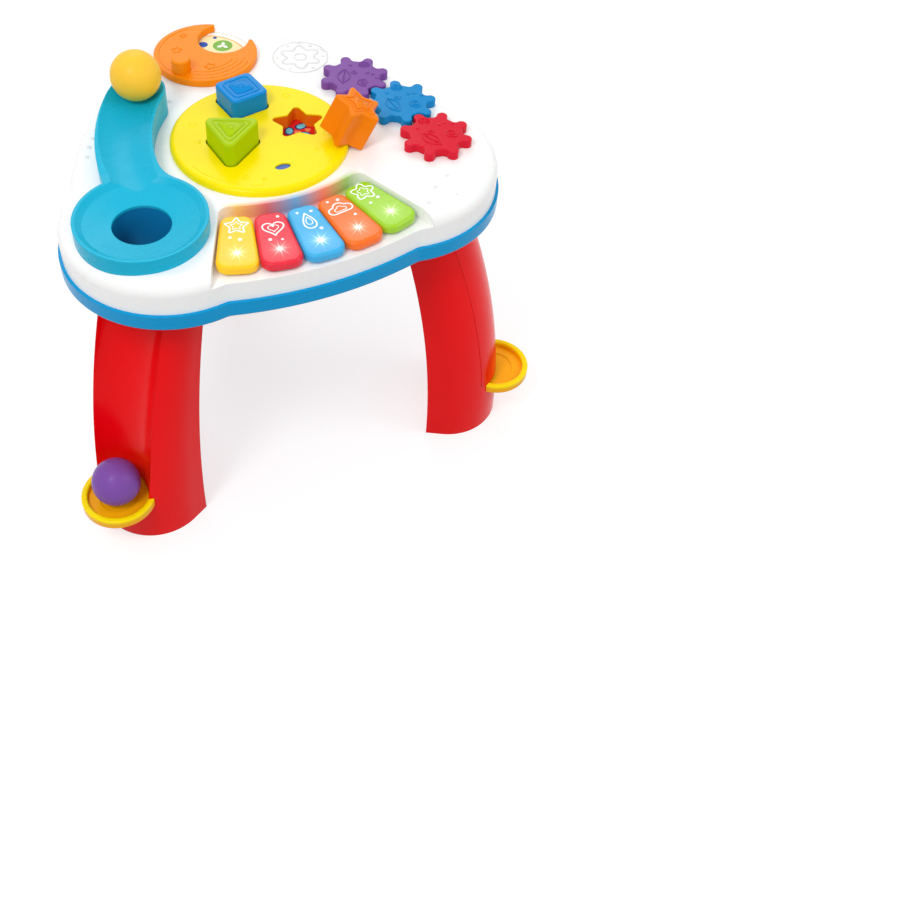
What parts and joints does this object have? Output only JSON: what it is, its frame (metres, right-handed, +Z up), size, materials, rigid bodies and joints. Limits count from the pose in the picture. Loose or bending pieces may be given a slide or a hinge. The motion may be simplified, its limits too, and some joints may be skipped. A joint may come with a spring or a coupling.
{
  "type": "musical activity table",
  "caption": "Three-legged toddler activity table with piano keys, meshing gears, a shape sorter, a turning moon disc and a ball ramp that drops balls down a leg into a cup.",
  "frame": {"origin": "on the floor, below the middle of the table top, where the three legs' directions meet", "axes": "+Z up; -Y towards the side with the keyboard; +X to the player's right; the legs point to 210, 330 and 90 degrees"},
  "size_m": [0.5264, 0.48, 0.4241],
  "materials": {
    "shell_white": "gloss",
    "tray_blue": "gloss",
    "leg_red": "gloss",
    "cup_yellow": "gloss",
    "ramp_cyan": "gloss",
    "tube_blue": "satin",
    "plate_yellow": "gloss",
    "well_orange": "gloss",
    "tub_red": "satin",
    "button_blue": "gloss",
    "square_blue": "gloss",
    "triangle_green": "gloss",
    "star_orange": "gloss",
    "moon_orange": "gloss",
    "picture_card": "printed",
    "gear_purple": "gloss",
    "gear_blue": "gloss",
    "gear_red": "gloss",
    "key_yellow": "translucent gloss",
    "key_red": "translucent gloss",
    "key_blue": "translucent gloss",
    "key_orange": "translucent gloss",
    "key_green": "translucent gloss",
    "ball_yellow": "gloss",
    "ball_purple": "gloss",
    "inner_plastic": "matt",
    "black_plastic": "matt",
    "board_green": "satin",
    "rubber_grey": "matt",
    "lamp_clear": "clear",
    "screw_steel": "zinc plated",
    "contact_metal": "bright",
    "cell_wrap": "printed film"
  },
  "bodies": {
    "table": {"base_tray": "tray_blue", "top_shell": "shell_white", "tray_screws": "screw_steel", "leg_left": "leg_red", "leg_right": "leg_red", "leg_rear": "leg_red", "leg_cover_left": "leg_red", "leg_cover_right": "leg_red", "leg_cover_rear": "leg_red", "ball_cup_left": "cup_yellow", "ball_cup_right": "cup_yellow", "ball_cup_rear": "cup_yellow", "ball_ramp": "ramp_cyan", "ball_drop_tube": "tube_blue", "sorter_plate": "plate_yellow", "star_well": "well_orange", "sorter_tub": "tub_red", "picture_disc": "picture_card", "key_board": "board_green", "key_domes": "rubber_grey", "key_lights": "lamp_clear", "main_board": "board_green", "board_chips": "black_plastic", "board_screws": "screw_steel", "speaker": "black_plastic", "battery_box": "inner_plastic", "batteries": "cell_wrap", "battery_contacts": "contact_metal"},
    "moon": {"moon_disc": "moon_orange", "moon_washer": "inner_plastic"},
    "gear_purple": {"gear_purple": "gear_purple", "gear_washer_purple": "inner_plastic"},
    "gear_blue": {"gear_blue": "gear_blue", "gear_washer_blue": "inner_plastic"},
    "gear_red": {"gear_red": "gear_red", "gear_washer_red": "inner_plastic"},
    "key_yellow": {"key_yellow": "key_yellow"},
    "key_red": {"key_red": "key_red"},
    "key_blue": {"key_blue": "key_blue"},
    "key_orange": {"key_orange": "key_orange"},
    "key_green": {"key_green": "key_green"},
    "sorter_button": {"sorter_button": "button_blue"},
    "battery_door": {"battery_door": "tray_blue", "battery_door_screw": "screw_steel"},
    "power_switch": {"power_switch": "black_plastic"},
    "ball_yellow": {"ball_yellow": "ball_yellow"},
    "ball_purple": {"ball_purple": "ball_purple"},
    "square_block": {"square_block": "square_blue", "square_block_cap": "square_blue"},
    "triangle_block": {"triangle_block": "triangle_green", "triangle_block_cap": "triangle_green"},
    "star_block": {"star_block": "star_orange", "star_block_cap": "star_orange"}
  },
  "joints": [
    {"name": "moon_turn", "type": "hinge", "parent": "table", "child": "moon", "pos_m": [-0.0024, 0.1573, 0.355], "axis": [0, 0, 1], "continuous": true},
    {"name": "gear_purple_turn", "type": "hinge", "parent": "table", "child": "gear_purple", "pos_m": [0.1258, 0.056, 0.355], "axis": [0, 0, 1], "continuous": true},
    {"name": "gear_blue_turn", "type": "hinge", "parent": "table", "child": "gear_blue", "pos_m": [0.1516, -0.0026, 0.355], "axis": [0, 0, 1], "continuous": true},
    {"name": "gear_red_turn", "type": "hinge", "parent": "table", "child": "gear_red", "pos_m": [0.1604, -0.0656, 0.355], "axis": [0, 0, 1], "continuous": true},
    {"name": "key_yellow_press", "type": "slide", "parent": "table", "child": "key_yellow", "axis": [0, 0, -1], "range_m": [0, 0.0025], "stiffness_N_per_m": 300, "springref_m": -0.002},
    {"name": "key_red_press", "type": "slide", "parent": "table", "child": "key_red", "axis": [0, 0, -1], "range_m": [0, 0.0025], "stiffness_N_per_m": 300, "springref_m": -0.002},
    {"name": "key_blue_press", "type": "slide", "parent": "table", "child": "key_blue", "axis": [0, 0, -1], "range_m": [0, 0.0025], "stiffness_N_per_m": 300, "springref_m": -0.002},
    {"name": "key_orange_press", "type": "slide", "parent": "table", "child": "key_orange", "axis": [0, 0, -1], "range_m": [0, 0.0025], "stiffness_N_per_m": 300, "springref_m": -0.002},
    {"name": "key_green_press", "type": "slide", "parent": "table", "child": "key_green", "axis": [0, 0, -1], "range_m": [0, 0.0025], "stiffness_N_per_m": 300, "springref_m": -0.002},
    {"name": "sorter_button_press", "type": "slide", "parent": "table", "child": "sorter_button", "axis": [0, 0, -1], "range_m": [0, 0.0015], "stiffness_N_per_m": 200, "springref_m": -0.002},
    {"name": "battery_door_lift", "type": "slide", "parent": "table", "child": "battery_door", "axis": [0, 0, -1], "range_m": [0, 0.03]},
    {"name": "power_switch_slide", "type": "slide", "parent": "table", "child": "power_switch", "axis": [1, 0, 0], "range_m": [0, 0.008]},
    {"name": "ball_yellow_lift", "type": "slide", "parent": "table", "child": "ball_yellow", "axis": [0, 0, 1], "range_m": [0, 0.08]},
    {"name": "ball_purple_lift", "type": "slide", "parent": "table", "child": "ball_purple", "axis": [0, 0, 1], "range_m": [0, 0.08]},
    {"name": "square_block_lift", "type": "slide", "parent": "table", "child": "square_block", "axis": [0, 0, 1], "range_m": [0, 0.045]},
    {"name": "triangle_block_lift", "type": "slide", "parent": "table", "child": "triangle_block", "axis": [0, 0, 1], "range_m": [0, 0.045]},
    {"name": "star_block_lift", "type": "slide", "parent": "table", "child": "star_block", "axis": [0, 0, 1], "range_m": [0, 0.05]}
  ],
  "couplings": [
    {"joint": "gear_purple_turn", "follows": "gear_blue_turn", "ratio": -1},
    {"joint": "gear_red_turn", "follows": "gear_blue_turn", "ratio": -1}
  ]
}
